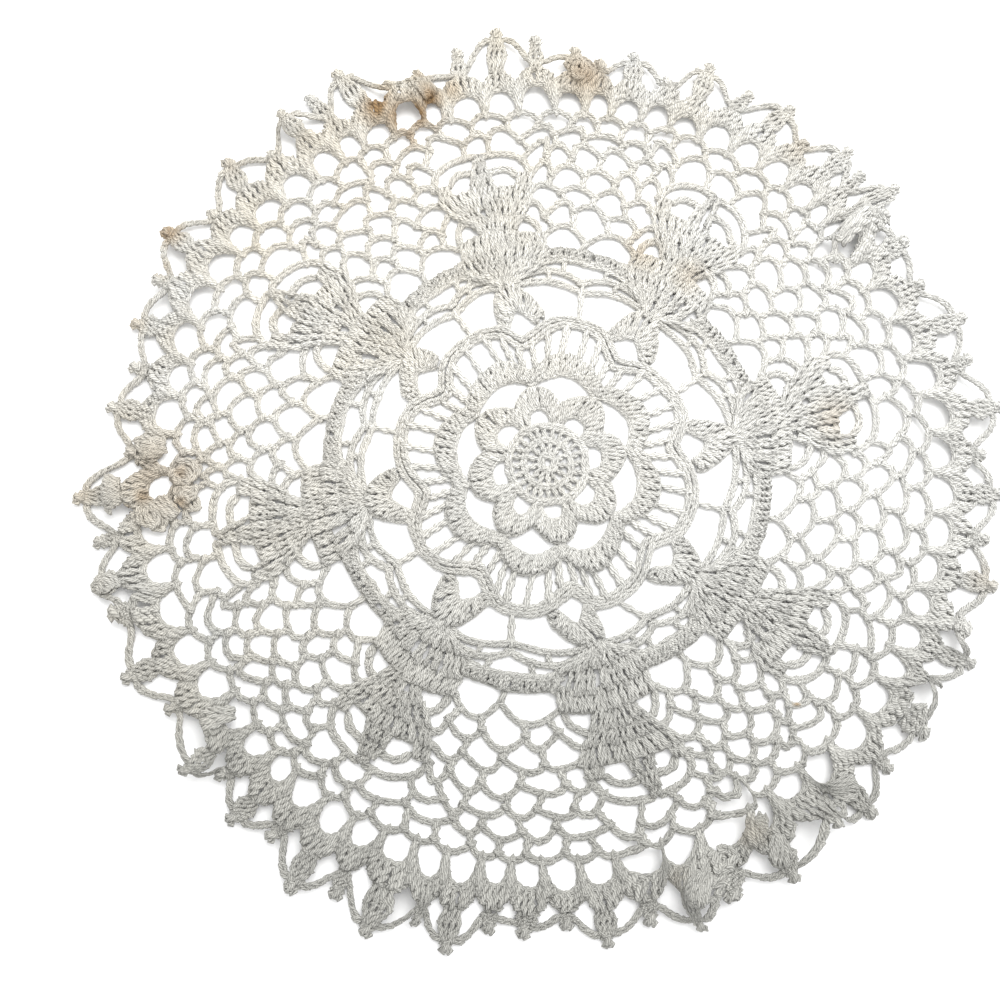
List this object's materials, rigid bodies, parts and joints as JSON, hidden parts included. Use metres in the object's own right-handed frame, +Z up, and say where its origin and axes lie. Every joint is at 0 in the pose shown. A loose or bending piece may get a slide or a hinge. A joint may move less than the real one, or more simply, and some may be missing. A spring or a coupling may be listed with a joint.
{
  "type": "crocheted lace doily",
  "caption": "Round openwork doily, crocheted in one piece: a rosette, close-stitched leaves in a net, and a scalloped border with picots.",
  "frame": {"origin": "middle of the doily, on the surface that it lies on", "axes": "+Z up from that surface; +Y towards the picture's top, +X towards its right"},
  "size_m": [0.2991, 0.3024, 0.0096],
  "materials": {
    "cotton_thread": "matt off-white cotton crochet thread, creamier in places, with a few old stains at the border"
  },
  "bodies": {
    "root": {"doily": "cotton_thread"}
  },
  "joints": []
}
